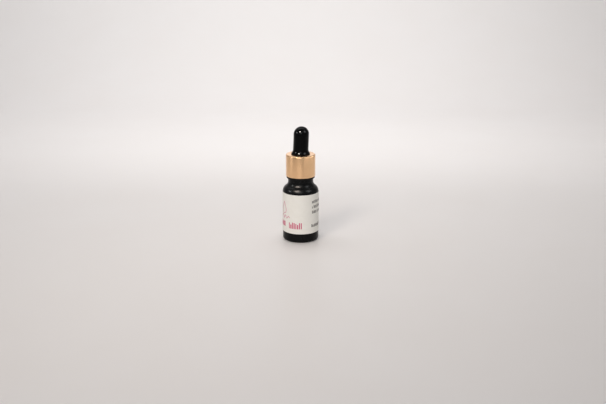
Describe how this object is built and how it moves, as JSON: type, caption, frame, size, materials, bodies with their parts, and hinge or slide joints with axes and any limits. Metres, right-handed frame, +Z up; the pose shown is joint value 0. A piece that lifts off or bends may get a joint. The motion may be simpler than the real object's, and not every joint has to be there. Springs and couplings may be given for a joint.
{
  "type": "dropper bottle",
  "caption": "Small round glass bottle with a screw-on dropper: metal-shelled cap, rubber bulb and glass pipette.",
  "frame": {"origin": "centre of the bottle's base, on the surface it stands on", "axes": "+Z up along the bottle's axis; the label's seam faces +Y"},
  "size_m": [0.025, 0.025, 0.0793],
  "materials": {
    "bottle_glass": "near-black glossy glass",
    "label_paper": "matt coated paper",
    "wiper_plastic": "soft milky plastic",
    "cap_plastic": "black moulded plastic",
    "collar_metal": "gold anodised",
    "bulb_rubber": "smooth black rubber",
    "pipette_glass": "clear glass"
  },
  "bodies": {
    "bottle": {"glass_bottle": "bottle_glass", "wrap_label": "label_paper", "neck_wiper": "wiper_plastic"},
    "pipette": {"glass_pipette": "pipette_glass"},
    "screw_cap": {"inner_cap": "cap_plastic", "collar_shell": "collar_metal"},
    "bulb": {"rubber_bulb": "bulb_rubber"}
  },
  "joints": [
    {"name": "dropper_lift", "type": "slide", "parent": "bottle", "child": "pipette", "axis": [0, 0, 1], "range_m": [0, 0.054]},
    {"name": "cap_turn", "type": "hinge", "parent": "pipette", "child": "screw_cap", "pos_m": [0, 0, 0.0525], "axis": [0, 0, 1], "range_deg": [0, 6480]},
    {"name": "bulb_squeeze", "type": "slide", "parent": "screw_cap", "child": "bulb", "axis": [0, 0, -1], "range_m": [0, 0.004], "stiffness_N_per_m": 600, "deforming": ["rubber_bulb"]}
  ],
  "couplings": [
    {"joint": "dropper_lift", "follows": "cap_turn", "m_per_rad": 0.00047746}
  ]
}
